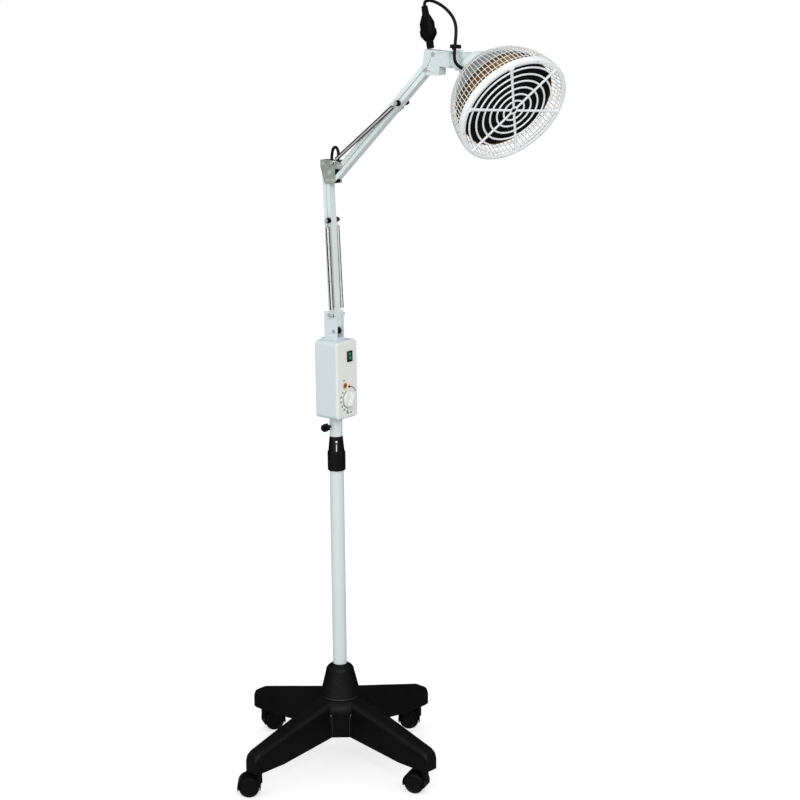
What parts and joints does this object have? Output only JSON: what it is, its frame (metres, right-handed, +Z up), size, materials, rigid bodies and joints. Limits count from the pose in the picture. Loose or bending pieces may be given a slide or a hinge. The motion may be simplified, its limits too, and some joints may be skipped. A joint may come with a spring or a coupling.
{
  "type": "infrared heat therapy lamp",
  "caption": "Floor-standing heat therapy lamp: castor star base, telescopic post, control box with switch and timer, spring-balanced folding arm and a swivelling guarded heater head.",
  "frame": {"origin": "on the floor, on the post's centre line", "axes": "+Z up along the post, -Y to the front: the control panel, the arm and the head face -Y at rest"},
  "size_m": [0.5174, 0.7701, 1.5231],
  "materials": {
    "base_black": "fine grained moulding",
    "ballast_iron": "rough casting",
    "steel": "zinc plated",
    "chrome": "polished",
    "white_paint": "satin powder coat",
    "box_grey": "fine satin",
    "black_plastic": "satin",
    "pale_plastic": "satin",
    "white_gloss": "gloss",
    "rocker_green": "translucent gloss",
    "lens_amber": "translucent gloss",
    "guard_wire": "coated wire",
    "copper_pan": "copper coloured, anodised",
    "plate_black": "matt mineral coating",
    "shield_metal": "spun",
    "lead_black": "satin sleeve",
    "connector_black": "moulded, satin"
  },
  "bodies": {
    "base": {"star_base": "base_black", "hub_cone": "base_black", "ballast_weight": "ballast_iron", "base_bolt": "steel", "lower_post": "white_paint", "collet": "black_plastic"},
    "lock": {"lock_ring": "black_plastic"},
    "post": {"inner_post": "chrome"},
    "box": {"box_sleeve": "white_paint", "box_front": "box_grey", "box_back": "box_grey", "box_screws": "steel", "switch_housing": "black_plastic", "indicator_lens": "lens_amber", "timer_body": "pale_plastic", "mains_inlet": "black_plastic", "terminal_block": "pale_plastic"},
    "knob": {"sleeve_knob": "black_plastic"},
    "rocker": {"switch_rocker": "rocker_green"},
    "dial": {"timer_knob": "white_gloss"},
    "fork": {"arm_fork": "white_paint", "fork_bolt": "steel", "fork_pins": "steel"},
    "lower_front": {"lower_bar_front": "white_paint", "lower_spring_pin": "steel", "lower_springs": "chrome"},
    "lower_rear": {"lower_bar_rear": "white_paint"},
    "elbow": {"elbow_bracket": "steel", "elbow_pins": "steel", "elbow_spacer": "black_plastic", "elbow_lead": "lead_black"},
    "upper_bottom": {"upper_bar_bottom": "white_paint", "upper_spring_pin": "steel", "upper_springs": "chrome"},
    "upper_top": {"upper_bar_top": "white_paint"},
    "bracket": {"head_bracket": "white_paint", "bracket_pins": "steel", "yaw_bolt": "steel", "inline_plug": "connector_black", "inline_socket": "connector_black", "head_lead": "lead_black", "cable_clip": "black_plastic"},
    "yoke": {"tilt_yoke": "white_paint", "tilt_bolt": "steel"},
    "head": {"neck_cup": "white_paint", "rear_guard": "guard_wire", "front_grille": "white_paint", "heater_pan": "copper_pan", "heating_element": "pale_plastic", "mineral_plate": "plate_black", "back_shield": "shield_metal", "centre_stud": "steel"},
    "castor_1": {"castor_hood_1": "base_black"},
    "wheels_1": {"castor_wheels_1": "base_black"},
    "castor_2": {"castor_hood_2": "base_black"},
    "wheels_2": {"castor_wheels_2": "base_black"},
    "castor_3": {"castor_hood_3": "base_black"},
    "wheels_3": {"castor_wheels_3": "base_black"},
    "castor_4": {"castor_hood_4": "base_black"},
    "wheels_4": {"castor_wheels_4": "base_black"}
  },
  "joints": [
    {"name": "castor_swivel_1", "type": "hinge", "parent": "base", "child": "castor_1", "pos_m": [0.22941, -0.01644, 0.06], "axis": [0, 0, 1], "continuous": true},
    {"name": "castor_roll_1", "type": "hinge", "parent": "castor_1", "child": "wheels_1", "pos_m": [0.21833, -0.00226, 0.02], "axis": [-0.788, -0.6157, 0], "continuous": true},
    {"name": "castor_swivel_2", "type": "hinge", "parent": "base", "child": "castor_2", "pos_m": [0.01644, 0.22941, 0.06], "axis": [0, 0, 1], "continuous": true},
    {"name": "castor_roll_2", "type": "hinge", "parent": "castor_2", "child": "wheels_2", "pos_m": [0.03171, 0.21987, 0.02], "axis": [0.5299, 0.848, 0], "continuous": true},
    {"name": "castor_swivel_3", "type": "hinge", "parent": "base", "child": "castor_3", "pos_m": [-0.22941, 0.01644, 0.06], "axis": [0, 0, 1], "continuous": true},
    {"name": "castor_roll_3", "type": "hinge", "parent": "castor_3", "child": "wheels_3", "pos_m": [-0.24122, 0.03003, 0.02], "axis": [-0.7547, -0.6561, 0], "continuous": true},
    {"name": "castor_swivel_4", "type": "hinge", "parent": "base", "child": "castor_4", "pos_m": [-0.01644, -0.22941, 0.06], "axis": [0, 0, 1], "continuous": true},
    {"name": "castor_roll_4", "type": "hinge", "parent": "castor_4", "child": "wheels_4", "pos_m": [-0.02171, -0.2122, 0.02], "axis": [-0.9563, -0.2924, 0], "continuous": true},
    {"name": "lock_turn", "type": "hinge", "parent": "base", "child": "lock", "pos_m": [0, 0, 0.646], "axis": [0, 0, 1], "range_deg": [0, 60]},
    {"name": "post_height", "type": "slide", "parent": "base", "child": "post", "axis": [0, 0, 1], "range_m": [0, 0.3]},
    {"name": "box_turn", "type": "hinge", "parent": "post", "child": "box", "pos_m": [0, 0, 0.74], "axis": [0, 0, 1], "range_deg": [-170, 170]},
    {"name": "knob_turn", "type": "hinge", "parent": "box", "child": "knob", "pos_m": [-0.03, 0, 0.703], "axis": [1, 0, 0], "continuous": true},
    {"name": "switch_rock", "type": "hinge", "parent": "box", "child": "rocker", "pos_m": [0.0071, -0.0296, 0.8436], "axis": [1, 0, 0], "range_deg": [0, 20]},
    {"name": "timer_turn", "type": "hinge", "parent": "box", "child": "dial", "pos_m": [0.004, -0.035, 0.759], "axis": [0, 1, 0], "range_deg": [0, 300]},
    {"name": "fork_turn", "type": "hinge", "parent": "box", "child": "fork", "pos_m": [0, 0, 0.88], "axis": [0, 0, 1], "range_deg": [-90, 90]},
    {"name": "lower_arm_tilt", "type": "hinge", "parent": "fork", "child": "lower_front", "pos_m": [0, -0.008, 0.89235], "axis": [1, 0, 0], "range_deg": [-1, 60], "deforming": ["lower_springs"]},
    {"name": "lower_bar_turn", "type": "hinge", "parent": "fork", "child": "lower_rear", "pos_m": [0, 0.00247, 0.92365], "axis": [1, 0, 0], "range_deg": [-2, 61]},
    {"name": "elbow_turn", "type": "hinge", "parent": "lower_front", "child": "elbow", "pos_m": [0, 0.00376, 1.18511], "axis": [1, 0, 0], "range_deg": [-61, 2]},
    {"name": "upper_arm_tilt", "type": "hinge", "parent": "elbow", "child": "upper_bottom", "pos_m": [0, -0.01104, 1.18571], "axis": [1, 0, 0], "range_deg": [-1, 45], "deforming": ["upper_springs"]},
    {"name": "upper_bar_turn", "type": "hinge", "parent": "elbow", "child": "upper_top", "pos_m": [0, -0.02804, 1.214], "axis": [1, 0, 0], "range_deg": [-2, 46]},
    {"name": "wrist_turn", "type": "hinge", "parent": "upper_bottom", "child": "bracket", "pos_m": [0, -0.2395, 1.3973], "axis": [1, 0, 0], "range_deg": [-46, 2]},
    {"name": "head_yaw", "type": "hinge", "parent": "bracket", "child": "yoke", "pos_m": [0, -0.306, 1.415], "axis": [0, 0, 1], "range_deg": [-60, 60], "deforming": ["head_lead"]},
    {"name": "head_tilt", "type": "hinge", "parent": "yoke", "child": "head", "pos_m": [-0.00649, -0.32806, 1.421], "axis": [0.9593, -0.2823, 0], "range_deg": [-48, 45], "deforming": ["head_lead"]}
  ],
  "couplings": [
    {"joint": "lower_bar_turn", "follows": "lower_arm_tilt", "ratio": 1},
    {"joint": "elbow_turn", "follows": "lower_arm_tilt", "ratio": -1},
    {"joint": "upper_bar_turn", "follows": "upper_arm_tilt", "ratio": 1},
    {"joint": "wrist_turn", "follows": "upper_arm_tilt", "ratio": -1}
  ]
}
